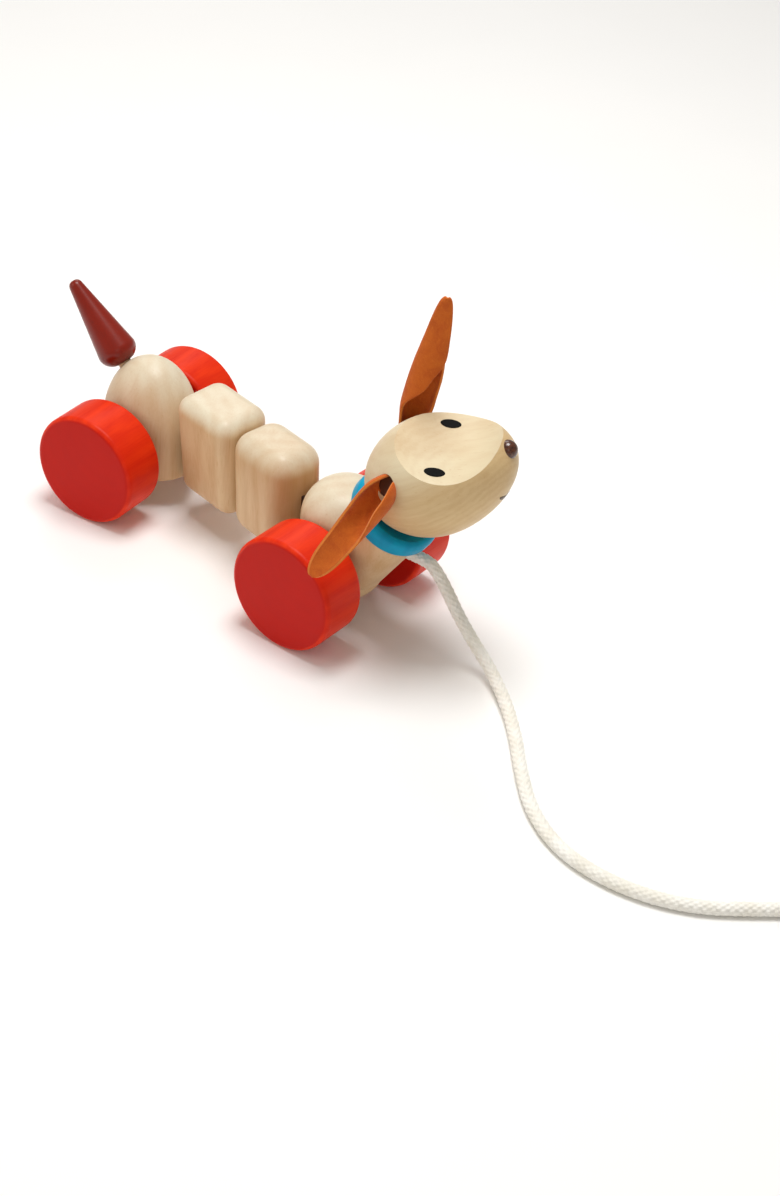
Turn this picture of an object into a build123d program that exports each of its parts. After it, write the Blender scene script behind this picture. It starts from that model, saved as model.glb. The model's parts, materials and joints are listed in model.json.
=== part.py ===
from build123d import *
import math
import os

# A wooden puppy on four wheels, pulled along by a cord: a rear wagon, two middle blocks and a front
# wagon with a collar and a head, joined by flat leather straps. All sizes are in millimetres.
# +X is the way the rear wagon faces, +Y its left side, +Z up. Z = 0 is the floor.

# Frame: the rear axle in the row's frame, so that the origin is the middle of the toy's floor box
REAR_AXLE_X = -76.5
REAR_AXLE_Y = 14.5

# Wheels and axles
WHEEL_RADIUS = 25.0
WHEEL_WIDTH = 22.4
WHEEL_ROUND = 2.4
WHEEL_INNER_Y = 19.6
WHEEL_BORE_DEPTH = 15.0
AXLE_CHAMFER = 0.6
AXLE_RADIUS = 4.0
AXLE_RUNNING_GAP = 0.06
GLUE_GAP = 0.02
PEG_END_GAP = 0.5
PAST_FACE = 1.0

# The chain: headings of each wagon and block, and the hinge axes between them
BLOCK_REAR_HEADING = -16.3
BLOCK_FRONT_HEADING = -17.2
FRONT_HEADING = -5.5
REAR_HITCH = 29.7
FRONT_HITCH = 22.0
HITCH_PITCH = 36.5

# Rear wagon body: an upright ellipse with a domed top
BODY_HALF_WIDTH = 19.1
REAR_BODY_X = 4.6
REAR_HALF_LENGTH = 21.7
REAR_BASE_Z = 12.8
REAR_DOME_Z = 33.8
REAR_TOP_Z = 64.1
REAR_ROUND = 2.6

# Middle blocks
BLOCK_LENGTH = 34.6
BLOCK_WIDTH = 26.5
BLOCK_HEIGHT = 48.2
BLOCK_CENTRE_Z = 37.9
BLOCK_REAR_ROUND = 6.8
BLOCK_FRONT_ROUND = 9.1
BLOCK_REAR_LEAN = 6.6
BLOCK_FRONT_LEAN = 4.2

# Front wagon body: an upright ellipse run into an inclined round neck
FRONT_BODY_X = -1.1
FRONT_HALF_LENGTH = 17.7
FRONT_BASE_Z = 10.5
FRONT_TOP_Z = 59.5
FRONT_BASE_ROUND = 7.0
FRONT_TOP_ROUND = 15.5
NECK_RADIUS = 16.6
NECK_LOWER = 38.0
NECK_LOWER_ROUND = 8.0

# Neck axis, collar and neck dowel, in the front wagon's frame
NECK_ELEVATION = 56.9
COLLAR_X = 20.8
COLLAR_Z = 53.0
COLLAR_RADIUS = 19.0
COLLAR_THICK = 9.0
COLLAR_ROUND = 3.0
SEAT_RADIUS = 30.2
DOWEL_RADIUS = 6.0
DOWEL_GAP = 0.06
DOWEL_IN_BODY = 9.0
DOWEL_IN_HEAD = 17.0
NECK_HOLE_DEPTH = 24.0

# Head: an egg turned about its nose axis, with a hollow scooped face. Its middle stands
# HEAD_RISE along the neck axis from the collar's top and HEAD_AHEAD in front of that axis.
HEAD_RISE = 25.5
HEAD_AHEAD = 0.3
HEAD_ELEVATION = 34.8
HEAD_TURN = 27.4
HEAD_BACK = 29.6
HEAD_FRONT = 36.7
HEAD_RADIUS = 24.1
HEAD_FRONT_POWER = 1.76
HEAD_PROFILE_POINTS = 9
SCOOP_Z = 21.8
SCOOP_SLOPE = -1.18
SCOOP_CURVE = 0.02
SCOOP_FROM = -4.0
SCOOP_TO = 40.0

# Features of the face, in the head's frame
EYE_X = 11.5
EYE_Y = 13.5
EYE_LONG = 4.15
EYE_SHORT = 2.25
EYE_DEEP = 1.8
EYE_PROUD = 0.4
EYE_ROUND = 0.3
NOSE_X = 36.2
NOSE_Z = 0.3
NOSE_TILT = 3.0
NOSE_RADIUS = 3.8
NOSE_DOME = 2.8
NOSE_PEG_RADIUS = 2.0
NOSE_PEG = 9.0

# Ears: leather leaves, each hinged where it is plugged into the side of the head
EAR_HOLE_X = -8.0
EAR_HOLE_ANGLE = 41.0
EAR_HOLE_RADIUS = 4.6
EAR_HOLE_DEPTH = 12.0
EAR_ROOT_RADIUS = 27.6
EAR_PLUG_SUNK = 2.5
EAR_THICK = 2.4
EAR_ROOT_WIDTH = 6.0
EAR_WIDTH = 17.0
EAR_BROADEST = 0.45
EAR_ROOT_SLOPE = 0.35
EAR_TIP_SLOPE = 0.75
LEFT_EAR_TIP = (34.0, 31.4, 53.3)
RIGHT_EAR_TIP = (-47.0, -41.0, 3.6)
LEFT_EAR_BROAD = (-0.62, 0.15, 0.58)
RIGHT_EAR_BROAD = (0.1, -0.35, 0.93)

# Tail: a turned cone on a dowel in the dome
TAIL_X = -10.4
TAIL_Z = 56.6
TAIL_BACK_ANGLE = 46.2
TAIL_LENGTH = 41.5
TAIL_BROADEST = (8.7, 7.0)
TAIL_SHOULDER = (6.4, 1.6)
TAIL_NECK = (3.1, 39.0)
TAIL_PEG_RADIUS = 3.0
TAIL_PEG_IN_BODY = 12.0
TAIL_PEG_IN_TAIL = 14.0

# Leather hinge straps in saw cuts
STRAP_THICK = 1.6
STRAP_HEIGHT = 24.0
STRAP_CENTRE_Z = 31.0
STRAP_IN = 11.0
CUT_GAP = 0.1

# Pull cord
CORD_DIAMETER = 5.5
CORD_LAY_Z = CORD_DIAMETER / 2
CORD_BORE_RADIUS = 3.2
KNOT_DOWN_NECK = 17.0
KNOT_RADIUS = 5.6
END_KNOT_FLAT = 0.88
END_KNOT_OVERLAP = 1.5
CORD_ROUTE = [
    (62.4, -9.8, 39.2),
    (83.4, -10.0, 40.5),
    (90.3, -9.8, 36.0),
    (105.5, -12.2, 17.8),
    (120.2, -13.6, 4.8),
    (136.0, -27.5, CORD_LAY_Z),
    (149.5, -44.0, CORD_LAY_Z),
    (160.0, -59.5, CORD_LAY_Z),
    (175.0, -78.5, CORD_LAY_Z),
    (195.5, -92.0, CORD_LAY_Z),
    (221.0, -95.0, CORD_LAY_Z),
    (245.5, -89.0, CORD_LAY_Z),
    (266.5, -74.5, CORD_LAY_Z),
    (291.0, -56.0, CORD_LAY_Z),
    (313.0, -37.0, CORD_LAY_Z),
]
ARC_SHARE = 0.45
COIL_RADIUS = 33.0
COIL_TURNS = 1.75
COIL_EDGE_ROUND = 0.9

REAR = Location((REAR_AXLE_X, REAR_AXLE_Y, 0))


def ahead(start, distance, heading, turn):
    """A frame `distance` ahead of `start` along `heading`, then turned to the heading `turn`."""
    x = start.position.X + distance * math.cos(math.radians(heading))
    y = start.position.Y + distance * math.sin(math.radians(heading))
    return Location((x, y, 0), (0, 0, turn))


HITCH_REAR = ahead(REAR, REAR_HITCH, 0, 0)
HITCH_MIDDLE = ahead(HITCH_REAR, HITCH_PITCH, BLOCK_REAR_HEADING, 0)
HITCH_FRONT = ahead(HITCH_MIDDLE, HITCH_PITCH, BLOCK_FRONT_HEADING, 0)
FRONT = ahead(HITCH_FRONT, FRONT_HITCH, FRONT_HEADING, FRONT_HEADING)


def leaning_block_frame(hitch, heading, lean):
    """A block's frame: its middle, half a pitch ahead of its rear hitch, leaning about its length."""
    middle = ahead(hitch, HITCH_PITCH / 2, heading, heading)
    return middle * Location((0, 0, BLOCK_CENTRE_Z)) * Location((0, 0, 0), (lean, 0, 0))


BLOCK_REAR = leaning_block_frame(HITCH_REAR, BLOCK_REAR_HEADING, BLOCK_REAR_LEAN)
BLOCK_FRONT = leaning_block_frame(HITCH_MIDDLE, BLOCK_FRONT_HEADING, BLOCK_FRONT_LEAN)

# Tail frame, in the rear wagon's frame: origin on the dome, local Z along the tail
TAIL = Location((TAIL_X, 0, TAIL_Z)) * Location((0, 0, 0), (0, TAIL_BACK_ANGLE - 90, 0))

# Collar frame: origin at the middle of the collar's underside, local Z along the neck axis
COLLAR = FRONT * Location((COLLAR_X, 0, COLLAR_Z)) * Location((0, 0, 0), (0, 90 - NECK_ELEVATION, 0))
HEAD_TILT = NECK_ELEVATION - HEAD_ELEVATION
HEAD = (
    COLLAR
    * Location((0, 0, COLLAR_THICK))
    * Location((0, 0, 0), (0, 0, HEAD_TURN))
    * Location((HEAD_AHEAD, 0, HEAD_RISE))
    * Location((0, 0, 0), (0, HEAD_TILT - 90, 0))
)


def rod(radius, low, high, x=0.0, y=0.0):
    """An upright round rod from z = low to z = high."""
    return Pos(x, y, low) * Cylinder(radius, high - low, align=(Align.CENTER, Align.CENTER, Align.MIN))


def cross_rod(radius, half, z):
    """A round rod along Y, centred on x = 0 at height z."""
    return Pos(0, 0, z) * (Rot(90, 0, 0) * Cylinder(radius, 2 * half))


def turned(*edges):
    """A solid turned about Z. The edges are a closed outline drawn in X and Z, with X its radius."""
    outline = Curve() + list(edges)
    return revolve(make_face(Plane.XZ * outline), Axis.Z)


def quarter(x, z, across, up, start):
    """A quarter of an ellipse about (x, z), from the angle `start` anticlockwise."""
    return EllipticalCenterArc((x, z), across, up, start_angle=start, arc_size=90)


def stretched(solid, half_length, x):
    """A solid that was turned at the body's half width, stretched along X and moved to x."""
    return Pos(x, 0, 0) * scale(solid, by=(half_length / BODY_HALF_WIDTH, 1, 1))


def wheel(side):
    """A wheel with a blind bore in its inner face. `side` is 1 for left and -1 for right."""
    disc = Rot(90, 0, 0) * Cylinder(WHEEL_RADIUS, WHEEL_WIDTH)
    disc = fillet(disc.edges().filter_by(GeomType.CIRCLE), WHEEL_ROUND)
    disc = Pos(0, side * (WHEEL_INNER_Y + WHEEL_WIDTH / 2), WHEEL_RADIUS) * disc
    return disc - cross_rod(AXLE_RADIUS + GLUE_GAP, WHEEL_INNER_Y + WHEEL_BORE_DEPTH, WHEEL_RADIUS)


def axle():
    """The dowel that carries two wheels."""
    dowel = cross_rod(AXLE_RADIUS, WHEEL_INNER_Y + WHEEL_BORE_DEPTH - PEG_END_GAP, WHEEL_RADIUS)
    return chamfer(dowel.edges().filter_by(GeomType.CIRCLE), AXLE_CHAMFER)


def axle_bore():
    return cross_rod(AXLE_RADIUS + AXLE_RUNNING_GAP, WHEEL_INNER_Y + PAST_FACE, WHEEL_RADIUS)


def tab(hitch, heading, lean, thick, height, past):
    """Half of a strap, or its saw cut, from the hinge axis along a heading, `past` the axis by a little."""
    length = past + HITCH_PITCH / 2 - BLOCK_LENGTH / 2 + STRAP_IN
    frame = Location((hitch.position.X, hitch.position.Y, BLOCK_CENTRE_Z), (0, 0, heading))
    down = STRAP_CENTRE_Z - BLOCK_CENTRE_Z
    return frame * Rot(lean, 0, 0) * Pos(length / 2 - past, 0, down) * Box(length, thick, height)


def strap(hitch, ends):
    """A strap across one hinge axis. `ends` are its two headings, each with the lean of the wood there."""
    past = STRAP_THICK / 3
    first, second = [tab(hitch, heading, lean, STRAP_THICK, STRAP_HEIGHT, past) for heading, lean in ends]
    return first + second


def saw_cut(hitch, heading, lean):
    return tab(hitch, heading, lean, STRAP_THICK + 2 * CUT_GAP, STRAP_HEIGHT + 2 * CUT_GAP, 0)


def rear_body():
    outline = turned(
        Line((0, REAR_TOP_Z), (0, REAR_BASE_Z)),
        Line((0, REAR_BASE_Z), (BODY_HALF_WIDTH - REAR_ROUND, REAR_BASE_Z)),
        quarter(BODY_HALF_WIDTH - REAR_ROUND, REAR_BASE_Z + REAR_ROUND, REAR_ROUND, REAR_ROUND, -90),
        Line((BODY_HALF_WIDTH, REAR_BASE_Z + REAR_ROUND), (BODY_HALF_WIDTH, REAR_DOME_Z)),
        quarter(0, REAR_DOME_Z, BODY_HALF_WIDTH, REAR_TOP_Z - REAR_DOME_Z, 0),
    )
    body = stretched(outline, REAR_HALF_LENGTH, REAR_BODY_X) - axle_bore()
    body = body - TAIL * rod(TAIL_PEG_RADIUS + GLUE_GAP, -TAIL_PEG_IN_BODY, TAIL_PEG_IN_TAIL)
    return REAR * body - saw_cut(HITCH_REAR, 180, 0)


def tail():
    """The tail, standing on the dome along its own Z."""
    slope = (TAIL_NECK[0] - TAIL_BROADEST[0], TAIL_NECK[1] - TAIL_BROADEST[1])
    cone = turned(
        Line((0, TAIL_LENGTH), (0, 0)),
        Spline((0, 0), TAIL_SHOULDER, TAIL_BROADEST, tangents=((1, 0), slope)),
        Line(TAIL_BROADEST, TAIL_NECK),
        Spline(TAIL_NECK, (0, TAIL_LENGTH), tangents=(slope, (-1, 0))),
    )
    cone = cone - rod(TAIL_PEG_RADIUS + GLUE_GAP, -PAST_FACE, TAIL_PEG_IN_TAIL)
    return REAR * TAIL * cone


def tail_dowel():
    low = PEG_END_GAP - TAIL_PEG_IN_BODY
    return REAR * TAIL * rod(TAIL_PEG_RADIUS, low, TAIL_PEG_IN_TAIL - PEG_END_GAP)


def block(frame, rounding, cuts):
    """A middle block with rounded edges and the saw cuts for the straps at its two ends."""
    solid = Box(BLOCK_LENGTH, BLOCK_WIDTH, BLOCK_HEIGHT)
    solid = fillet(solid.edges(), rounding)
    solid = frame * solid
    for hitch, heading, lean in cuts:
        solid = solid - saw_cut(hitch, heading, lean)
    return solid


def front_body():
    """The front wagon's body: an upright bullet run into the inclined neck under the collar."""
    bullet = turned(
        Line((0, FRONT_TOP_Z), (0, FRONT_BASE_Z)),
        Line((0, FRONT_BASE_Z), (BODY_HALF_WIDTH - FRONT_BASE_ROUND, FRONT_BASE_Z)),
        quarter(BODY_HALF_WIDTH - FRONT_BASE_ROUND, FRONT_BASE_Z + FRONT_BASE_ROUND,
                FRONT_BASE_ROUND, FRONT_BASE_ROUND, -90),
        Line((BODY_HALF_WIDTH, FRONT_BASE_Z + FRONT_BASE_ROUND),
             (BODY_HALF_WIDTH, FRONT_TOP_Z - FRONT_TOP_ROUND)),
        quarter(BODY_HALF_WIDTH - FRONT_TOP_ROUND, FRONT_TOP_Z - FRONT_TOP_ROUND,
                FRONT_TOP_ROUND, FRONT_TOP_ROUND, 0),
        Line((BODY_HALF_WIDTH - FRONT_TOP_ROUND, FRONT_TOP_Z), (0, FRONT_TOP_Z)),
    )
    body = FRONT * stretched(bullet, FRONT_HALF_LENGTH, FRONT_BODY_X)
    neck = rod(NECK_RADIUS, -NECK_LOWER, 0)
    neck = fillet(neck.edges().filter_by(GeomType.CIRCLE).sort_by(Axis.Z)[0], NECK_LOWER_ROUND)
    body = body + COLLAR * neck
    body = body - FRONT * axle_bore()
    body = body - COLLAR * rod(DOWEL_RADIUS + DOWEL_GAP, -NECK_HOLE_DEPTH, PAST_FACE)
    body = body - cord_bore()
    return body - saw_cut(HITCH_FRONT, FRONT_HEADING, 0)


def knot_place():
    """The middle of the stopper knot, on the neck axis below the dowel."""
    return (COLLAR * Location((0, 0, -KNOT_DOWN_NECK))).position


def cord_bore():
    """The slanting hole that the cord leaves the chest by, on the line of the route's first run."""
    way = Vector(*CORD_ROUTE[1]) - Vector(*CORD_ROUTE[0])
    start = Plane(origin=knot_place(), z_dir=way)
    return start * rod(CORD_BORE_RADIUS, 0, way.length + KNOT_RADIUS)


def collar():
    """A turned ring with a dished seat for the head."""
    ring = rod(COLLAR_RADIUS, 0, COLLAR_THICK)
    ring = fillet(ring.edges().filter_by(GeomType.CIRCLE), COLLAR_ROUND)
    ring = ring - rod(DOWEL_RADIUS + DOWEL_GAP, -PAST_FACE, COLLAR_THICK + PAST_FACE)
    ring = ring - Pos(0, 0, COLLAR_THICK + HEAD_RISE) * Sphere(SEAT_RADIUS)
    return COLLAR * ring


def neck_dowel():
    return COLLAR * rod(DOWEL_RADIUS, -DOWEL_IN_BODY, COLLAR_THICK + DOWEL_IN_HEAD)


def head_radius(x):
    """The egg's radius at x along the nose axis."""
    if x < 0:
        return HEAD_RADIUS * math.sqrt(1 - (x / HEAD_BACK) ** 2)
    return HEAD_RADIUS * math.sqrt(1 - (x / HEAD_FRONT) ** HEAD_FRONT_POWER)


def scoop_z(x):
    """The height of the scooped face above the nose axis."""
    return SCOOP_Z + SCOOP_SLOPE * x + SCOOP_CURVE * x * x


def scoop_slope(x):
    return SCOOP_SLOPE + 2 * SCOOP_CURVE * x


def egg():
    """The whole egg, turned about the head's X axis."""
    points = []
    for step in range(1, HEAD_PROFILE_POINTS + 1):
        x = HEAD_FRONT * math.sin(math.pi / 2 * step / (HEAD_PROFILE_POINTS + 1))
        points.append((x, head_radius(x)))
    front = Spline((0, HEAD_RADIUS), *points, (HEAD_FRONT, 0), tangents=((1, 0), (0, -1)))
    back = EllipticalCenterArc((0, 0), HEAD_BACK, HEAD_RADIUS, start_angle=90, arc_size=90)
    axis = Line((-HEAD_BACK, 0), (HEAD_FRONT, 0))
    return revolve(make_face(Plane.XZ * (Curve() + [back, front, axis])), Axis.X)


def scoop():
    """The wood cut away in front of the face: everything above one parabola."""
    half = (SCOOP_TO - SCOOP_FROM) / 2
    control = (SCOOP_FROM + half, scoop_z(SCOOP_FROM) + scoop_slope(SCOOP_FROM) * half)
    low = (SCOOP_FROM, scoop_z(SCOOP_FROM))
    high = (SCOOP_TO, scoop_z(SCOOP_TO))
    over = 2 * HEAD_RADIUS
    face = Bezier(low, control, high)
    sides = Polyline(high, (SCOOP_TO, over), (SCOOP_FROM, over), low)
    return extrude(make_face(Plane.XZ * (Curve() + [face, sides])), over, both=True)


def eye_shape(side, grow, low, high):
    """An oval inlay square to the scooped face, from `low` under its surface to `high` over it."""
    place = Plane(
        origin=(EYE_X, side * EYE_Y, scoop_z(EYE_X)),
        x_dir=(1, 0, scoop_slope(EYE_X)),
        z_dir=(-scoop_slope(EYE_X), 0, 1),
    )
    oval = extrude(Ellipse(EYE_LONG + grow, EYE_SHORT + grow), high - low)
    return place * (Pos(0, 0, low) * oval)


def eye(side):
    inlay = eye_shape(side, 0, -EYE_DEEP, EYE_PROUD)
    return HEAD * fillet(inlay.edges().sort_by(Axis.Z)[-1], EYE_ROUND)


def nose_place():
    return Location((NOSE_X, 0, NOSE_Z)) * Location((0, 0, 0), (0, 90 - NOSE_TILT, 0))


def nose():
    """A domed button, the cap of a ball, on a peg."""
    ball_radius = (NOSE_RADIUS**2 + NOSE_DOME**2) / (2 * NOSE_DOME)
    button = Pos(0, 0, NOSE_DOME - ball_radius) * Sphere(ball_radius)
    button = button & rod(NOSE_RADIUS, 0, NOSE_DOME + PAST_FACE)
    return HEAD * nose_place() * (button + rod(NOSE_PEG_RADIUS, -NOSE_PEG, PAST_FACE))


def ear_root(side):
    """The frame of an ear hole: origin on the nose axis, local Z out of the head through the hole."""
    tilt = math.copysign(90 - EAR_HOLE_ANGLE, -side)
    return Location((EAR_HOLE_X, 0, 0)) * Location((0, 0, 0), (tilt, 0, 0))


def ear_hole(side, radius, low, high):
    return ear_root(side) * rod(radius, low, high)


def head():
    shape = egg() - scoop()
    for side in (1, -1):
        shape = shape - eye_shape(side, GLUE_GAP, -EYE_DEEP, 2 * EYE_PROUD)
        shape = shape - ear_hole(side, EAR_HOLE_RADIUS, HEAD_RADIUS - EAR_HOLE_DEPTH, EAR_ROOT_RADIUS)
    button = nose_place() * rod(NOSE_RADIUS + GLUE_GAP, 0, NOSE_DOME + PAST_FACE)
    peg = nose_place() * rod(NOSE_PEG_RADIUS + GLUE_GAP, -NOSE_PEG - PEG_END_GAP, PAST_FACE)
    shape = HEAD * (shape - button - peg)
    dowel_top = COLLAR_THICK + DOWEL_IN_HEAD
    return shape - COLLAR * rod(DOWEL_RADIUS + GLUE_GAP, 0, dowel_top + PEG_END_GAP)


def ear_plug(side):
    """The wooden plug that wedges the ear's rolled root into its hole."""
    low = HEAD_RADIUS - EAR_HOLE_DEPTH + PEG_END_GAP
    return HEAD * ear_hole(side, EAR_HOLE_RADIUS - GLUE_GAP, low, HEAD_RADIUS - EAR_PLUG_SUNK)


def ear(side, tip, broad):
    """A flat leaf from just outside the ear hole to its tip. `broad` is its broadest way."""
    root = (ear_root(side) * Location((0, 0, EAR_ROOT_RADIUS))).position
    along = Vector(*tip) - root
    length = along.length
    normal = along.cross(Vector(*broad))
    leaf_plane = Plane(origin=root, x_dir=along, z_dir=normal)
    half_root = EAR_ROOT_WIDTH / 2
    half = EAR_WIDTH / 2
    broadest = length * EAR_BROADEST
    end = (length, 0)
    sides = []
    for way in (1, -1):
        slopes = ((1, way * EAR_ROOT_SLOPE), (1, -way * EAR_TIP_SLOPE))
        sides.append(Spline((0, way * half_root), (broadest, way * half), end, tangents=slopes))
    outline = Curve() + [*sides, Line((0, -half_root), (0, half_root))]
    return HEAD * (leaf_plane * extrude(make_face(outline), EAR_THICK / 2, both=True))


def chest_knot():
    """The stopper knot inside the neck hole, as the ball that it fills."""
    return Location(knot_place()) * Sphere(KNOT_RADIUS)


def fillet_radii(points):
    """For each corner, the arc that takes ARC_SHARE of the shorter of its two runs."""
    radii = []
    for before, corner, after in zip(points, points[1:], points[2:]):
        run_in = corner - before
        run_out = after - corner
        half_turn = math.radians(run_in.get_angle(run_out) / 2)
        radii.append(ARC_SHARE * min(run_in.length, run_out.length) / math.tan(half_turn))
    return radii


def pull_cord():
    """The cord from the stopper knot to the coil, as a tube of tangent runs and arcs."""
    points = [Vector(*point) for point in CORD_ROUTE]
    radii = fillet_radii(points)
    path = FilletPolyline(*points, radius=radii)
    section = Plane(origin=path @ 0, z_dir=path % 0) * Circle(CORD_DIAMETER / 2)
    tube = sweep(section, path=path)
    print("cord radii", [round(radius, 1) for radius in radii])
    print("cord length", round(path.length, 1))
    print("cord volume", round(tube.volume), "of", round(path.length * math.pi * CORD_DIAMETER**2 / 4))
    return tube


def coil_centre():
    """The coil lies on the left of the cord's last run, which meets its outer turn."""
    end = Vector(*CORD_ROUTE[-1])
    way = (end - Vector(*CORD_ROUTE[-2])).normalized()
    return end + Vector(-way.Y, way.X, 0) * COIL_RADIUS


def coil_inner_radius():
    return COIL_RADIUS - COIL_TURNS * CORD_DIAMETER


def cord_coil():
    """The coil of spare cord, as the flat ring that its turns fill."""
    centre = coil_centre()
    half = CORD_DIAMETER / 2
    ring = rod(COIL_RADIUS + half, 0, CORD_DIAMETER)
    ring = ring - rod(coil_inner_radius() - half, -PAST_FACE, CORD_DIAMETER + PAST_FACE)
    ring = fillet(ring.edges().filter_by(GeomType.CIRCLE), half * COIL_EDGE_ROUND)
    return Pos(centre.X, centre.Y, 0) * ring


def end_knot():
    """The knot at the cord's far end, inside the coil."""
    centre = coil_centre()
    start = math.atan2(CORD_ROUTE[-1][1] - centre.Y, CORD_ROUTE[-1][0] - centre.X)
    angle = start + 2 * math.pi * COIL_TURNS
    reach = coil_inner_radius() - CORD_DIAMETER / 2 - KNOT_RADIUS + END_KNOT_OVERLAP
    x = centre.X + reach * math.cos(angle)
    y = centre.Y + reach * math.sin(angle)
    knot = scale(Sphere(KNOT_RADIUS), by=(1, 1, END_KNOT_FLAT))
    return Pos(x, y, KNOT_RADIUS * END_KNOT_FLAT) * knot


block_rear_cuts = [
    (HITCH_REAR, BLOCK_REAR_HEADING, BLOCK_REAR_LEAN),
    (HITCH_MIDDLE, BLOCK_REAR_HEADING + 180, -BLOCK_REAR_LEAN),
]
block_front_cuts = [
    (HITCH_MIDDLE, BLOCK_FRONT_HEADING, BLOCK_FRONT_LEAN),
    (HITCH_FRONT, BLOCK_FRONT_HEADING + 180, -BLOCK_FRONT_LEAN),
]
nodes = {
    "rear_body": rear_body(),
    "tail": tail(),
    "tail_dowel": tail_dowel(),
    "mid_block_rear": block(BLOCK_REAR, BLOCK_REAR_ROUND, block_rear_cuts),
    "mid_block_front": block(BLOCK_FRONT, BLOCK_FRONT_ROUND, block_front_cuts),
    "front_body": front_body(),
    "collar": collar(),
    "neck_dowel": neck_dowel(),
    "head": head(),
    "nose": nose(),
    "hinge_strap_rear": strap(HITCH_REAR, [(180, 0), block_rear_cuts[0][1:]]),
    "hinge_strap_middle": strap(HITCH_MIDDLE, [block_rear_cuts[1][1:], block_front_cuts[0][1:]]),
    "hinge_strap_front": strap(HITCH_FRONT, [block_front_cuts[1][1:], (FRONT_HEADING, 0)]),
    "pull_cord": pull_cord(),
    "cord_chest_knot": chest_knot(),
    "cord_coil": cord_coil(),
    "cord_end_knot": end_knot(),
}
for wagon, frame in (("rear", REAR), ("front", FRONT)):
    nodes[f"{wagon}_axle"] = frame * axle()
    for side_name, side in (("left", 1), ("right", -1)):
        nodes[f"{wagon}_wheel_{side_name}"] = frame * wheel(side)
for side_name, side, tip, broad in (
    ("left", 1, LEFT_EAR_TIP, LEFT_EAR_BROAD),
    ("right", -1, RIGHT_EAR_TIP, RIGHT_EAR_BROAD),
):
    nodes[f"eye_{side_name}"] = eye(side)
    nodes[f"ear_plug_{side_name}"] = ear_plug(side)
    nodes[f"ear_{side_name}"] = ear(side, tip, broad)

os.makedirs("parts", exist_ok=True)
for name, solid in nodes.items():
    export_step(solid, f"parts/{name}.step")
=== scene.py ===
import json
import math

import bpy
import numpy as np
from mathutils import Matrix, Vector


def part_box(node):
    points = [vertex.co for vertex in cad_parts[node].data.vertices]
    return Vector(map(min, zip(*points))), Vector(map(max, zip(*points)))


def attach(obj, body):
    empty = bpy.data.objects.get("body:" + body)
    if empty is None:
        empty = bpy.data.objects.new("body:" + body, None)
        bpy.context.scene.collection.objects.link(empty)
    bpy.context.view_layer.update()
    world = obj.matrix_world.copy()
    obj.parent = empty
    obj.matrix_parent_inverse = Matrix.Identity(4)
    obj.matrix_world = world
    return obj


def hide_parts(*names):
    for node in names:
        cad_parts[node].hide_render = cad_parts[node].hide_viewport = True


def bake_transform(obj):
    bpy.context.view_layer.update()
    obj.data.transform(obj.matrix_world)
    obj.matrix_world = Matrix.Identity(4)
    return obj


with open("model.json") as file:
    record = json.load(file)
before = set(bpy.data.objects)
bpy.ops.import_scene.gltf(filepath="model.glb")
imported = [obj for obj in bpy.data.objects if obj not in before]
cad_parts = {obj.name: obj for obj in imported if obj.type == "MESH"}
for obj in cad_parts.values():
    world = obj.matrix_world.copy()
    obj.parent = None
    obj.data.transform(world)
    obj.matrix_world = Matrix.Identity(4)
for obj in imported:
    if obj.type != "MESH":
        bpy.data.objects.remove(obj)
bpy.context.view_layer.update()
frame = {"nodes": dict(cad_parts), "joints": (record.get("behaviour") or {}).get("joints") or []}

MM = 0.001
NODES = frame["nodes"]
JOINTS = {joint["name"]: joint for joint in frame["joints"]}

# Camera: where it aims in the toy's frame, how far off, and its angles in degrees
CAMERA_AIM = Vector((60.2, 7.5, 0.0)) * MM
CAMERA_DISTANCE = 887.3 * MM
CAMERA_AZIMUTH = 28.11
CAMERA_ELEVATION = 35.56
CAMERA_ROLL = 6.19
CAMERA_LENS = 63.04

WARM_WHITE = (1.0, 0.95, 0.88)
FLOOR_HALF = 3.0

# Head: the same driving sizes as the CAD model
HEAD_TURN = math.radians(27.4)
HEAD_TILT = math.radians(22.1)
HEAD_RISE = 25.5 * MM
HEAD_AHEAD = 0.3 * MM
HEAD_FRONT = 36.7 * MM
HEAD_BACK = 29.6 * MM
HEAD_RADIUS = 24.1 * MM
HEAD_FRONT_POWER = 1.76
EAR_HOLE_X = -8.0 * MM
EAR_HOLE_ANGLE = math.radians(41.0)

# Cord
CORD_DIAMETER = 5.5 * MM
CORD_LAY_Z = CORD_DIAMETER / 2
CORD_ROUTE = [
    (0.0624, -0.0098, 0.0392),
    (0.0834, -0.0100, 0.0405),
    (0.0903, -0.0098, 0.0360),
    (0.1055, -0.0122, 0.0178),
    (0.1202, -0.0136, 0.0048),
    (0.1360, -0.0275, CORD_LAY_Z),
    (0.1495, -0.0440, CORD_LAY_Z),
    (0.1600, -0.0595, CORD_LAY_Z),
    (0.1750, -0.0785, CORD_LAY_Z),
    (0.1955, -0.0920, CORD_LAY_Z),
    (0.2210, -0.0950, CORD_LAY_Z),
    (0.2455, -0.0890, CORD_LAY_Z),
    (0.2665, -0.0745, CORD_LAY_Z),
    (0.2910, -0.0560, CORD_LAY_Z),
    (0.3130, -0.0370, CORD_LAY_Z),
]
COIL_RADIUS = 33.0 * MM
COIL_TURNS = 1.75
COIL_POINTS_PER_TURN = 16


def linear(red, green, blue):
    """A scene-linear colour from its 0-255 screen values."""
    return tuple((value / 255) ** 2.2 for value in (red, green, blue)) + (1.0,)


# ---------------------------------------------------------------- camera, light and floor


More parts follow.
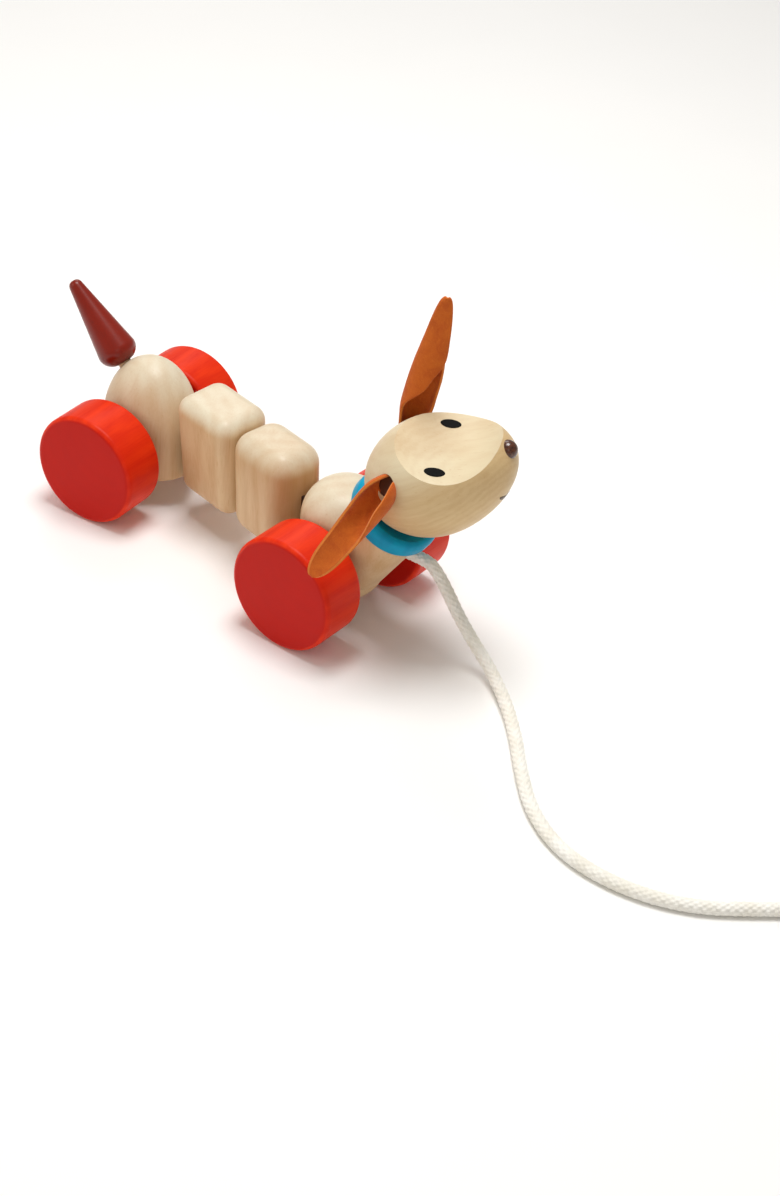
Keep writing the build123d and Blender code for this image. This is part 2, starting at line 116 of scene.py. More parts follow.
def add_camera():
    azimuth = math.radians(CAMERA_AZIMUTH)
    elevation = math.radians(CAMERA_ELEVATION)
    turn = (
        Matrix.Rotation(azimuth, 4, "Z")
        @ Matrix.Rotation(math.pi / 2 - elevation, 4, "X")
        @ Matrix.Rotation(math.radians(CAMERA_ROLL), 4, "Z")
    )
    data = bpy.data.cameras.new("camera")
    data.sensor_fit = "AUTO"
    data.sensor_width = 36.0
    data.lens = CAMERA_LENS
    data.clip_start = 0.01
    data.clip_end = 20.0
    camera = bpy.data.objects.new("camera", data)
    bpy.context.collection.objects.link(camera)
    back = turn.to_3x3() @ Vector((0, 0, 1))
    camera.matrix_world = Matrix.Translation(CAMERA_AIM + back * CAMERA_DISTANCE) @ turn
    bpy.context.scene.camera = camera


def add_area(name, place, aim, size, power, colour=(1, 1, 1)):
    data = bpy.data.lights.new(name, "AREA")
    data.shape = "DISK"
    data.size = size
    data.energy = power
    data.color = colour
    light = bpy.data.objects.new(name, data)
    bpy.context.collection.objects.link(light)
    light.location = place
    light.rotation_euler = (Vector(place) - Vector(aim)).to_track_quat("Z", "Y").to_euler()


def add_studio():
    world = bpy.data.worlds.new("studio")
    world.use_nodes = True
    background = world.node_tree.nodes["Background"]
    background.inputs["Color"].default_value = (*WARM_WHITE, 1.0)
    background.inputs["Strength"].default_value = 0.36
    bpy.context.scene.world = world
    add_area("key", (0.0, 0.05, 1.2), (0.05, 0.0, 0.03), 0.6, 10.5)
    add_area("floor_wash", (-1.1, 1.3, 1.5), (-0.9, 1.0, 0.0), 1.2, 9.0)
    add_area("fill", (-0.75, -0.75, 0.6), (0.0, 0.0, 0.03), 0.8, 2.2, WARM_WHITE)
    add_area("front", (0.7, -0.9, 0.7), (0.08, 0.0, 0.05), 0.5, 0.7, (1.0, 0.93, 0.84))
    scene = bpy.context.scene
    scene.view_settings.view_transform = "Standard"
    scene.view_settings.look = "None"


# ---------------------------------------------------------------- material tools


class Maker:
    """Builds one node material. Each call adds a node and returns it."""

    def __init__(self, name):
        self.material = bpy.data.materials.new(name)
        self.material.use_nodes = True
        self.tree = self.material.node_tree
        self.shader = self.tree.nodes["Principled BSDF"]

    def node(self, kind, values=None, **settings):
        made = self.tree.nodes.new(kind)
        for key, value in settings.items():
            setattr(made, key, value)
        for key, value in (values or {}).items():
            self.put(value, made.inputs[key])
        return made

    def put(self, value, socket):
        """Sets a socket, or links another node's output to it."""
        if isinstance(value, bpy.types.NodeSocket):
            self.tree.links.new(value, socket)
        else:
            socket.default_value = value

    def coordinates(self, place=None, stretch=(1, 1, 1)):
        """Object coordinates in the frame `place`, stretched by `stretch`."""
        source = self.node("ShaderNodeTexCoord").outputs["Object"]
        if place is not None:
            back = place.inverted()
            source = self.node(
                "ShaderNodeMapping",
                {"Vector": source, "Location": back.to_translation(), "Rotation": back.to_euler()},
            ).outputs["Vector"]
        return self.node("ShaderNodeMapping", {"Vector": source, "Scale": stretch}).outputs["Vector"]

    def noise(self, vector, scale, detail=4.0, rough=0.55, distortion=0.0):
        made = self.node(
            "ShaderNodeTexNoise",
            {"Vector": vector, "Scale": scale, "Detail": detail, "Roughness": rough,
             "Distortion": distortion},
        )
        return made.outputs["Fac"]

    def ramp(self, value, low, high, out_low=0.0, out_high=1.0):
        made = self.node(
            "ShaderNodeMapRange",
            {"Value": value, "From Min": low, "From Max": high, "To Min": out_low, "To Max": out_high},
            interpolation_type="SMOOTHSTEP",
        )
        return made.outputs["Result"]

    def mix(self, factor, first, second, blend="MIX"):
        made = self.node("ShaderNodeMix", data_type="RGBA", blend_type=blend)
        self.put(factor, made.inputs["Factor"])
        self.put(first, made.inputs[6])
        self.put(second, made.inputs[7])
        return made.outputs[2]

    def math(self, operation, first, second):
        made = self.node("ShaderNodeMath", operation=operation)
        self.put(first, made.inputs[0])
        self.put(second, made.inputs[1])
        return made.outputs[0]

    def bump(self, height, strength, distance, under=None):
        made = self.node("ShaderNodeBump", {"Height": height, "Strength": strength, "Distance": distance})
        if under is not None:
            self.put(under, made.inputs["Normal"])
        return made.outputs["Normal"]

    def finish(self, colour, rough, normal=None, **constants):
        self.put(colour, self.shader.inputs["Base Color"])
        self.put(rough, self.shader.inputs["Roughness"])
        if normal is not None:
            self.put(normal, self.shader.inputs["Normal"])
        for key, value in constants.items():
            self.shader.inputs[key.replace("_", " ")].default_value = value
        return self.material


def facing(maker, direction):
    """How squarely the surface faces a direction in the object's own frame: 1 when square to it, -1 away."""
    normal = maker.node("ShaderNodeTexCoord").outputs["Normal"]
    dot = maker.node("ShaderNodeVectorMath", operation="DOT_PRODUCT")
    maker.put(normal, dot.inputs[0])
    maker.put(tuple(direction), dot.inputs[1])
    return dot.outputs["Value"]


def wood(name, light, dark, end_grain_and_painted_light, place, rings=48.0, swirl=2.6, contrast=0.4, pore_depth=0.3, rough=0.45,
         coat=0.06, shine=0.3, painted_light_way=None, painted_light_range=(-0.1, 0.8)):
    """Sanded, varnished or stained wood whose grain runs along the local Z of `place`.
    Faces that look along the given way are painted in the third colour as painted light, a lighter tone
    standing in for light falling on them; without that way, the two ends of the grain take the third colour
    as their own end-grain tone."""
    maker = Maker(name)
    broad_space = maker.coordinates(place, (1.0, 1.0, 0.22))
    fibre = maker.noise(maker.coordinates(place, (1.0, 1.0, 0.05)), 1300.0, 5.0, 0.6)
    broad = maker.noise(broad_space, 64.0, 5.0, 0.6, 1.8)
    cloud = maker.noise(maker.coordinates(place, (1.0, 1.0, 0.5)), 26.0, 2.0, 0.5)
    wave = maker.node(
        "ShaderNodeTexWave",
        {"Vector": broad_space, "Scale": rings, "Distortion": swirl, "Detail": 4.0, "Detail Scale": 2.2,
         "Detail Roughness": 0.6},
        wave_type="RINGS",
        rings_direction="Z",
    ).outputs["Fac"]
    pores = maker.ramp(maker.noise(maker.coordinates(place, (1.0, 1.0, 0.07)), 1500.0, 2.0, 0.5), 0.64, 0.76)
    tone = maker.math("ADD", maker.math("MULTIPLY", wave, 0.15), maker.math("MULTIPLY", broad, 0.75))
    tone = maker.math("ADD", tone, maker.math("MULTIPLY", fibre, 0.4))
    shade = maker.math("MULTIPLY", maker.ramp(tone, 0.38, 1.0), contrast)
    warm = maker.math("MULTIPLY", maker.ramp(cloud, 0.48, 0.72), 0.55)
    colour = maker.mix(warm, maker.mix(shade, light, dark), dark)
    # The third colour: without a way it is the end grain's own tone; with a way it is painted light on the
    # faces turned towards it.
    if painted_light_way is None:
        grain_way = place.to_3x3() @ Vector((0, 0, 1))
        end_grain_and_painted_light_mask = maker.ramp(maker.math("ABSOLUTE", facing(maker, grain_way), 0.0), 0.8, 1.0)
    else:
        end_grain_and_painted_light_mask = maker.ramp(facing(maker, painted_light_way), *painted_light_range)
    faint = maker.math("MULTIPLY", maker.math("ADD", shade, warm), 0.5)
    # Mixes in the third colour: the end-grain tone, or painted light on faces turned to the given way.
    colour = maker.mix(end_grain_and_painted_light_mask, colour, maker.mix(faint, end_grain_and_painted_light, dark))
    colour = maker.mix(maker.math("MULTIPLY", pores, pore_depth), colour, dark)
    normal = maker.bump(maker.math("SUBTRACT", fibre, pores), 0.22, 0.0001)
    roughness = maker.ramp(maker.math("ADD", fibre, pores), 0.3, 1.4, rough - 0.06, rough + 0.14)
    return maker.finish(colour, roughness, normal, Coat_Weight=coat, Coat_Roughness=0.22,
                        Specular_IOR_Level=shine)


def paint(name, base, shade, rough, coat, spread=160.0, shine=0.35):
    """A painted or glossy surface with a little unevenness and orange peel."""
    maker = Maker(name)
    space = maker.coordinates()
    cloud = maker.noise(space, spread, 4.0, 0.6)
    speck = maker.noise(space, 2600.0, 3.0, 0.6)
    colour = maker.mix(maker.ramp(cloud, 0.35, 0.7), base, shade)
    roughness = maker.ramp(speck, 0.3, 0.75, rough - 0.05, rough + 0.09)
    normal = maker.bump(maker.math("ADD", maker.math("MULTIPLY", cloud, 2.0), speck), 0.12, 0.00006)
    return maker.finish(colour, roughness, normal, Coat_Weight=coat, Coat_Roughness=0.12,
                        Specular_IOR_Level=shine)


def leather(name, base, shade, fleck, rough=0.82, nap=2200.0):
    """Suede: a soft nap with darker patches and short fibres."""
    maker = Maker(name)
    space = maker.coordinates()
    patch = maker.noise(space, 150.0, 5.0, 0.65, 0.8)
    fibres = maker.noise(maker.coordinates(None, (1.0, 1.6, 0.5)), nap, 5.0, 0.75, 1.2)
    colour = maker.mix(maker.ramp(patch, 0.3, 0.75, 0.0, 0.7), base, shade)
    colour = maker.mix(maker.ramp(fibres, 0.48, 0.72, 0.0, 0.6), colour, fleck)
    height = maker.math("ADD", fibres, maker.math("MULTIPLY", patch, 0.8))
    normal = maker.bump(height, 0.55, 0.00035)
    roughness = maker.ramp(fibres, 0.3, 0.7, rough - 0.08, rough + 0.1)
    return maker.finish(colour, roughness, normal, Sheen_Weight=0.12, Sheen_Roughness=0.5,
                        Specular_IOR_Level=0.2)


def cotton(name):
    """Off-white braided cotton, its yarns a little uneven in colour."""
    maker = Maker(name)
    space = maker.coordinates()
    patch = maker.noise(space, 120.0, 3.0, 0.5)
    yarn = maker.noise(space, 2600.0, 4.0, 0.7, 0.8)
    colour = maker.mix(maker.ramp(patch, 0.3, 0.7), linear(252, 250, 243), linear(242, 238, 226))
    colour = maker.mix(maker.ramp(yarn, 0.5, 0.75, 0.0, 0.35), colour, linear(214, 206, 188))
    normal = maker.bump(yarn, 0.5, 0.00018)
    roughness = maker.ramp(yarn, 0.3, 0.7, 0.8, 0.95)
    return maker.finish(colour, roughness, normal, Sheen_Weight=0.25, Sheen_Roughness=0.6)


def dress(node, material):
    """Gives a CAD node one material."""
    mesh = NODES[node].data
    mesh.materials.clear()
    mesh.materials.append(material)


# ---------------------------------------------------------------- frames on the toy


def joint_point(name):
    return Vector(JOINTS[name]["pos_m"])


def joint_axis(name):
    return Vector(JOINTS[name]["axis"]).normalized()


def from_axes(x_axis, y_axis, z_axis, origin):
    """A 4x4 frame from its three axes and its origin."""
    matrix = Matrix((x_axis, y_axis, z_axis)).transposed().to_4x4()
    matrix.translation = origin
    return matrix


def grain_frame(origin, grain):
    """A frame at `origin` whose Z runs along the grain."""
    turn = Vector(grain).to_track_quat("Z", "Y").to_matrix().to_4x4()
    return Matrix.Translation(origin) @ turn


def middle(node):
    low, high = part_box(node)
    return (Vector(low) + Vector(high)) / 2


def head_frame():
    """The head's frame: X to the nose, Y to its left, Z out of its forehead."""
    up = joint_axis("head_turn")
    left = joint_axis("front_wheels_roll")
    ahead = left.cross(up)
    turn = Matrix.Rotation(HEAD_TURN, 3, up)
    ahead = turn @ ahead
    left = turn @ left
    nose_way = ahead * math.sin(HEAD_TILT) + up * math.cos(HEAD_TILT)
    crown_way = up * math.sin(HEAD_TILT) - ahead * math.cos(HEAD_TILT)
    origin = joint_point("head_turn") + ahead * HEAD_AHEAD + up * HEAD_RISE
    return from_axes(nose_way, left, crown_way, origin)


HEAD = head_frame()


# ---------------------------------------------------------------- mesh tools


def make_mesh(name, points, faces, materials, smooth=True):
    mesh = bpy.data.meshes.new(name)
    mesh.from_pydata([tuple(point) for point in points], [], faces)
    mesh.validate()
    for material in materials:
        mesh.materials.append(material)
    mesh.polygons.foreach_set("use_smooth", [smooth] * len(mesh.polygons))
    made = bpy.data.objects.new(name, mesh)
    bpy.context.collection.objects.link(made)
    return made


def grid_faces(rows, columns, wrap=False):
    """Quads over a grid of points stored row by row; `wrap` joins each row's last point to its first."""
    faces = []
    for row in range(rows - 1):
        for column in range(columns if wrap else columns - 1):
            following = (column + 1) % columns
            faces.append((
                row * columns + column,
                row * columns + following,
                (row + 1) * columns + following,
                (row + 1) * columns + column,
            ))
    return faces


def smooth_step(value, low, high):
    t = min(max((value - low) / (high - low), 0.0), 1.0)
    return t * t * (3 - 2 * t)


def along_table(t, table):
    """A smooth curve through the (t, value) pairs of a short table, read at t."""
    places = [place for place, _ in table]
    values = [value for _, value in table]
    slopes = []
    for index in range(len(table)):
        low = max(index - 1, 0)
        high = min(index + 1, len(table) - 1)
        slopes.append((values[high] - values[low]) / (places[high] - places[low]))
    for index in range(len(table) - 1):
        if t <= places[index + 1]:
            break
    gap = places[index + 1] - places[index]
    s = (t - places[index]) / gap
    start = values[index] * (1 + 2 * s) * (1 - s) ** 2 + values[index + 1] * s * s * (3 - 2 * s)
    return start + gap * (slopes[index] * s * (1 - s) ** 2 + slopes[index + 1] * s * s * (s - 1))


# ---------------------------------------------------------------- cord


def coil_centre():
    end = Vector(CORD_ROUTE[-1])
    way = (end - Vector(CORD_ROUTE[-2])).normalized()
    return end + Vector((-way.y, way.x, 0)) * COIL_RADIUS


def coil_points():
    """The coil's turns, from its outer turn inwards."""
    centre = coil_centre()
    first = Vector(CORD_ROUTE[-1]) - centre
    start = math.atan2(first.y, first.x)
    count = round(COIL_TURNS * COIL_POINTS_PER_TURN)
    points = []
    for step in range(1, count + 1):
        turns = step / COIL_POINTS_PER_TURN
        radius = COIL_RADIUS - turns * CORD_DIAMETER
        angle = start + 2 * math.pi * turns
        points.append((centre.x + radius * math.cos(angle), centre.y + radius * math.sin(angle), CORD_LAY_Z))
    return points


def cord_line():
    """The cord's smooth line: points read from its NURBS route."""
    data = bpy.data.curves.new("cord_route", "CURVE")
    data.dimensions = "3D"
    data.resolution_u = 24
    spline = data.splines.new("NURBS")
    controls = CORD_ROUTE + coil_points()
    spline.points.add(len(controls) - 1)
    for point, control in zip(spline.points, controls):
        point.co = (*control, 1.0)
    spline.order_u = 3
    spline.use_endpoint_u = True
    route = bpy.data.objects.new("cord_route", data)
    bpy.context.collection.objects.link(route)
    bpy.context.view_layer.update()
    mesh = bpy.data.meshes.new_from_object(route)
    line = np.array([vertex.co[:] for vertex in mesh.vertices])
    bpy.data.objects.remove(route)
    bpy.data.meshes.remove(mesh)
    return line


SAME_POINT = 1e-7


def even_line(line, step):
    """The same line with its points `step` apart."""
    gaps = np.linalg.norm(np.diff(line, axis=0), axis=1)
    line = line[np.concatenate(([True], gaps > SAME_POINT))]
    run = np.concatenate(([0.0], np.cumsum(np.linalg.norm(np.diff(line, axis=0), axis=1))))
    places = np.linspace(0, run[-1], max(2, round(run[-1] / step)))
    return np.stack([np.interp(places, run, line[:, axis]) for axis in range(3)], axis=1), places


def carried_frames(line):
    """Two unit vectors square to the line at each point, carried along it without twist."""
    ways = np.gradient(line, axis=0)
    ways /= np.linalg.norm(ways, axis=1)[:, None]
    side = np.cross(ways[0], (0, 0, 1))
    side /= np.linalg.norm(side)
    sides = []
    for way in ways:
        side = side - way * side.dot(way)
        side /= np.linalg.norm(side)
        sides.append(side.copy())
    sides = np.array(sides)
    return sides, np.cross(ways, sides)


BRAID_STRANDS = 8
BRAID_PITCH = 26.0 * MM
BRAID_AROUND = 56
BRAID_STEP = 0.42 * MM
BRAID_DEPTH = 0.28


def braid_height(around, along):
    """The height of a braid's surface, 0 to 1: two sets of strands that pass over and under each other."""
    first = around * BRAID_STRANDS + along / BRAID_PITCH * BRAID_STRANDS
    second = around * BRAID_STRANDS - along / BRAID_PITCH * BRAID_STRANDS
    over = (np.floor(first) + np.floor(second)) % 2 == 0
    across = np.where(over, first, second) % 1.0 * 2 - 1
    onward = np.where(over, second, first) % 1.0 * 2 - 1
    return np.sqrt(1 - 0.9 * across**2) * (1 - 0.55 * onward**2)


def add_cord():
    line, places = even_line(cord_line(), BRAID_STEP)
    sides, ups = carried_frames(line)
    around = np.arange(BRAID_AROUND) / BRAID_AROUND
    angle = 2 * math.pi * around
    height = braid_height(around[None, :], places[:, None])
    radius = CORD_DIAMETER / 2 * (1 - BRAID_DEPTH + BRAID_DEPTH * height)
    ring = sides[:, None, :] * np.cos(angle)[None, :, None] + ups[:, None, :] * np.sin(angle)[None, :, None]
    points = line[:, None, :] + ring * radius[:, :, None]
    rows = len(line)
    faces = grid_faces(rows, BRAID_AROUND, wrap=True)
    faces.append(tuple(reversed(range(BRAID_AROUND))))
    faces.append(tuple((rows - 1) * BRAID_AROUND + column for column in range(BRAID_AROUND)))
    cord = make_mesh("pull_cord_braid", points.reshape(-1, 3), faces, [COTTON])
    knot = add_knot("cord_end_stopper", "cord_end_knot", line[-1] - line[-2])
    inner = add_knot("cord_chest_stopper", "cord_chest_knot", line[1] - line[0])
    for piece in (cord, knot, inner):
        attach(piece, "front_wagon")
    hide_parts("pull_cord", "cord_coil")
    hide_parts("cord_end_knot")
    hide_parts("cord_chest_knot")


KNOT_TUBE = 0.46
KNOT_SWING = 1.55
KNOT_RISE = 1.2
KNOT_STRAND_RIDGE = 0.07
KNOT_POINTS = 150
KNOT_AROUND = 20


def add_knot(name, node, way):
    """An overhand knot that fills its CAD ball: a trefoil of the cord's own thickness, pulled tight."""
    low, high = (Vector(corner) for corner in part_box(node))
    reach = min(high - low) / 2
    t = np.linspace(0, 2 * math.pi, KNOT_POINTS, endpoint=False)
    loop = np.stack([
        np.sin(t) + KNOT_SWING * np.sin(2 * t),
        np.cos(t) - KNOT_SWING * np.cos(2 * t),
        -KNOT_RISE * np.sin(3 * t),
    ], axis=1)
    loop *= reach * (1 - KNOT_TUBE) / np.abs(loop).max()
    turn = np.array(Vector(way).to_track_quat("X", "Z").to_matrix())
    loop = loop @ turn.T + np.array((low + high) / 2)
    ways = np.roll(loop, -1, axis=0) - np.roll(loop, 1, axis=0)
    ways /= np.linalg.norm(ways, axis=1)[:, None]
    outward = loop - loop.mean(axis=0)
    outward -= ways * (outward * ways).sum(axis=1)[:, None]
    outward /= np.linalg.norm(outward, axis=1)[:, None]
    across = np.cross(ways, outward)
    angle = np.linspace(0, 2 * math.pi, KNOT_AROUND, endpoint=False)
    strands = 1 + KNOT_STRAND_RIDGE * np.cos(6 * angle[None, :] + 9 * t[:, None])
    radius = reach * KNOT_TUBE * strands
    points = loop[:, None, :] + (
        outward[:, None, :] * np.cos(angle)[None, :, None] + across[:, None, :] * np.sin(angle)[None, :, None]
    ) * radius[:, :, None]
    faces = grid_faces(KNOT_POINTS, KNOT_AROUND, wrap=True)
    last = (KNOT_POINTS - 1) * KNOT_AROUND
    for column in range(KNOT_AROUND):
        following = (column + 1) % KNOT_AROUND
        faces.append((last + column, last + following, following, column))
    return make_mesh(name, points.reshape(-1, 3), faces, [COTTON])


# ---------------------------------------------------------------- ears

EAR_ROWS = 56
EAR_COLUMNS = 37
EAR_THICK = 1.25 * MM
EAR_ROOT_DEPTH = 2.3 * MM
EAR_STRAIGHT = 5.0 * MM
EAR_BEND_AT = 0.4
EAR_RIPPLE = 0.2 * MM
CURVE_STEPS = 400


def bezier(points, t):
    a, b, c, d = points
    s = 1 - t
    return a * s**3 + b * 3 * s * s * t + c * 3 * s * t * t + d * t**3


def even_bezier(points, count):
    """Points evenly spaced along a Bezier curve, with the curve's way at each."""
    fine = [bezier(points, step / CURVE_STEPS) for step in range(CURVE_STEPS + 1)]
    run = np.concatenate(([0.0], np.cumsum([(b - a).length for a, b in zip(fine, fine[1:])])))
    centres = []
    ways = []
    for place in np.linspace(0, run[-1], count):
        t = np.interp(place, run, np.linspace(0, 1, CURVE_STEPS + 1))
        centres.append(bezier(points, t))
        ways.append((bezier(points, min(t + 0.01, 1)) - bezier(points, max(t - 0.01, 0))).normalized())
    return centres, ways


def carried_back(ways, across):
    """`across` carried without twist from the last of the unit vectors `ways` back to the first."""
    carried = []
    for way in reversed(ways):
        across = (across - way * across.dot(way)).normalized()
        carried.append(across)
    return carried[::-1]


def add_ear(side_name, side, turn, bow, sway, halves, depths, starts, ends):
    """A leaf of suede whose root is rolled into the head's hole and which opens towards its tip.
    Its middle line bends by `bow` out of the leaf and by `sway` across it.
    Its section is part of an oval: `halves` and `depths` are the oval's half axes in millimetres, and
    `starts` and `ends` the angles in degrees of its two long edges, each against the way along the ear."""
    node = f"ear_{side_name}"
    flop = f"{side_name}_ear_flop"
    root = joint_point(flop)
    corners = [Vector(vertex.co) for vertex in NODES[node].data.vertices]
    tip = max(corners, key=lambda corner: (corner - root).length)
    hole_way = HEAD.to_3x3() @ Vector((0, side * math.cos(EAR_HOLE_ANGLE), math.sin(EAR_HOLE_ANGLE)))
    hole = HEAD @ Vector((EAR_HOLE_X, 0, 0))
    mouth = hole + hole_way * HEAD_RADIUS * math.sqrt(1 - (EAR_HOLE_X / HEAD_BACK) ** 2)
    along = (tip - root).normalized()
    broad = Matrix.Rotation(math.radians(turn), 3, along) @ joint_axis(flop)
    bent = root + (tip - root) * EAR_BEND_AT + broad.cross(along) * bow + broad * sway
    line = (mouth - hole_way * EAR_ROOT_DEPTH, mouth + hole_way * EAR_STRAIGHT + broad * sway, bent, tip)
    centres, ways = even_bezier(line, EAR_ROWS)
    points = []
    for row, (centre, way, across) in enumerate(zip(centres, ways, carried_back(ways, broad))):
        t = row / (EAR_ROWS - 1)
        face = across.cross(way)
        half = along_table(t, halves) * MM
        depth = along_table(t, depths) * MM
        start = math.radians(along_table(t, starts))
        end = math.radians(along_table(t, ends))
        for column in range(EAR_COLUMNS):
            u = column / (EAR_COLUMNS - 1)
            angle = start + (end - start) * u
            ripple = EAR_RIPPLE * math.sin(11 * t + 5 * u) * t
            outward = depth * math.sin(angle) + ripple
            points.append(centre + across * half * math.cos(angle) + face * outward)
    ear = make_mesh(f"leather_{node}", points, grid_faces(EAR_ROWS, EAR_COLUMNS), [SUEDE, SUEDE, SUEDE_EDGE])
    thicken = ear.modifiers.new("thickness", "SOLIDIFY")
    thicken.thickness = EAR_THICK
    thicken.offset = 0.0
    thicken.material_offset = 1
    thicken.material_offset_rim = 2
    soften = ear.modifiers.new("soft_edge", "SUBSURF")
    soften.levels = 1
    soften.render_levels = 1
    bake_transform(ear)
    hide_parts(node)


# ---------------------------------------------------------------- hinge straps

STRAP_HALF_HEIGHT = 12.0 * MM
STRAP_CENTRE_Z = 31.0 * MM
STRAP_THICK = 1.6 * MM
STRAP_REACH = 10.0 * MM
STRAP_STATIONS = 21
STRAP_ROWS = 13


def add_strap(name, node, joint, back_way, front_way, back_up, front_up):
    """A flat leather strip through two saw cuts, bending at the hinge axis."""
    pivot = joint_point(joint)
    pivot.z = STRAP_CENTRE_Z
    points = []
    for station in range(STRAP_STATIONS):
        s = station / (STRAP_STATIONS - 1) * 2 - 1
        reach = abs(s) * STRAP_REACH
        spot = pivot + (front_way if s > 0 else back_way) * reach
        up = (back_up * (1 - smooth_step(s, -1, 1)) + front_up * smooth_step(s, -1, 1)).normalized()
        for row in range(STRAP_ROWS):
            points.append(spot + up * STRAP_HALF_HEIGHT * (row / (STRAP_ROWS - 1) * 2 - 1))
    strap = make_mesh(name, points, grid_faces(STRAP_STATIONS, STRAP_ROWS), [STRAP_LEATHER])
    thicken = strap.modifiers.new("thickness", "SOLIDIFY")
    thicken.thickness = STRAP_THICK
    thicken.offset = 0.0
    soften = strap.modifiers.new("soft_edge", "BEVEL")
    soften.width = 0.3 * MM
    soften.segments = 2
    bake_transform(strap)
    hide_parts(node)


# ---------------------------------------------------------------- mouth

MOUTH_X = 24.4 * MM
MOUTH_HALF_TURN = math.radians(42.0)
MOUTH_STATIONS = 25
MOUTH_HALF_WIDTH = 1.0 * MM
MOUTH_PROUD = 0.12 * MM
MOUTH_LIFT = 1.6 * MM


def head_surface(x, turn, proud):
    """A point on the egg's front half, `turn` round from its underside."""
    radius = HEAD_RADIUS * math.sqrt(1 - (x / HEAD_FRONT) ** HEAD_FRONT_POWER) + proud
    return HEAD @ Vector((x, radius * math.sin(turn), -radius * math.cos(turn)))


def add_mouth():
    """The printed smile: a thin line round the front of the underside, its ends turned up to the nose."""
    points = []
    for station in range(MOUTH_STATIONS):
        s = station / (MOUTH_STATIONS - 1) * 2 - 1
        x = MOUTH_X + MOUTH_LIFT * s * s
        half = MOUTH_HALF_WIDTH * math.sqrt(max(1 - abs(s) ** 6, 0.03))
        for offset, proud in ((-1.0, -0.1), (-0.8, 1.0), (0.8, 1.0), (1.0, -0.1)):
            points.append(head_surface(x + offset * half, s * MOUTH_HALF_TURN, proud * MOUTH_PROUD))
    faces = grid_faces(MOUTH_STATIONS, 4, wrap=True)
    last = (MOUTH_STATIONS - 1) * 4
    faces.append((3, 2, 1, 0))
    faces.append((last, last + 1, last + 2, last + 3))
    mouth = make_mesh("mouth_print", points, faces, [MOUTH_PAINT])
    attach(mouth, "head")


# ---------------------------------------------------------------- floor


def add_floor():
    corners = [(x * FLOOR_HALF, y * FLOOR_HALF, 0) for x, y in ((-1, -1), (1, -1), (1, 1), (-1, 1))]
    floor = make_mesh("floor", corners, [(0, 1, 2, 3)], [FLOOR_PAINT])


add_camera()
add_studio()

COTTON = cotton("cotton_braid")
SUEDE = leather("orange_suede", linear(206, 102, 34), linear(178, 72, 24), linear(220, 126, 52))
SUEDE_EDGE = leather("suede_cut_edge", linear(224, 130, 58), linear(206, 106, 40), linear(238, 156, 84))
STRAP_LEATHER = leather("dark_strap_leather", linear(62, 40, 28), linear(40, 26, 20), linear(84, 58, 42), 0.6)
MOUTH_PAINT = paint("mouth_paint", linear(104, 88, 74), linear(84, 70, 60), 0.5, 0.1)
FLOOR_PAINT = paint("floor_paint", linear(250, 250, 249), linear(247, 247, 246), 0.7, 0.0, 2.0)

# Pale wood: light and dark tones, then a lighter colour painted on faces turned to the light as painted
# light.
PALE_WOOD_AND_PAINTED_LIGHT = (linear(223, 194, 152), linear(190, 144, 92), linear(222, 211, 187))
PALE_HEAD_AND_PAINTED_LIGHT = (linear(215, 186, 138), linear(184, 140, 90), linear(221, 207, 174))
RED = (linear(230, 58, 20), linear(200, 28, 12), linear(190, 27, 15))
BROWN = (linear(132, 34, 18), linear(94, 20, 12), linear(116, 32, 20))
BEECH = (linear(224, 196, 156), linear(190, 150, 104), linear(205, 165, 120))
# Ear plug colours: dark brown as painted shade, standing for the shadow deep inside each ear's rolled root.
PLUG_PAINTED_SHADE = (linear(92, 52, 30), linear(62, 34, 20), linear(76, 42, 26))

UP = Vector((0, 0, 1))
HEAD_GRAIN_TURN = math.radians(95)
BLOCK_FRONT_LEAN = math.radians(4.2)
BLOCK_REAR_LEAN = math.radians(6.6)
AXLE = {"front": joint_axis("front_wheels_roll"), "rear": joint_axis("rear_wheels_roll")}


def dress_bodies():
    """Pale wood on the wagons, the blocks and the head, each with its own piece of timber. Faces turned up on
    the wagons and blocks, and the head's crown, are painted lighter as painted light from above.
    """
    offsets = {
        "rear_body": Vector((30, 18, 0)),
        "mid_block_rear": Vector((-26, -34, 0)),
        "mid_block_front": Vector((22, -40, 0)),
        "front_body": Vector((-34, 24, 0)),
    }
    for node, offset in offsets.items():
        place = grain_frame(middle(node) + offset * MM, UP)
        # Painted light: faces turned up take the lighter third colour, as if lit from above.
        dress(node, wood(f"pale_{node}", *PALE_WOOD_AND_PAINTED_LIGHT, place, contrast=0.6, painted_light_way=UP))
    place = HEAD @ Matrix.Translation(Vector((0, -13, -19)) * MM) @ Matrix.Rotation(HEAD_GRAIN_TURN, 4, "Y")
    # Painted light: the head's crown takes the lighter third colour, as if lit from above, and its underside
    # stays darker.
    crown_way = HEAD.col[2].to_3d()
    dress("head", wood("pale_head", *PALE_HEAD_AND_PAINTED_LIGHT, place, rings=110.0, swirl=5.0, contrast=0.42,
                       painted_light_way=crown_way, painted_light_range=(0.2, 0.85)))


def dress_wheels():
    """Red stain: end grain on the faces, long grain on the treads."""
    for wagon, axle in AXLE.items():
        rod = f"{wagon}_axle"
        dress(rod, wood(f"beech_{rod}", *BEECH, grain_frame(middle(rod), axle)))
        for side in ("left", "right"):
            node = f"{wagon}_wheel_{side}"
            place = grain_frame(middle(node) + Vector((12, 0, 21)) * MM, axle)
            dress(node, wood(f"red_{node}", *RED, place, contrast=0.8, rough=0.48, coat=0.03, shine=0.12))


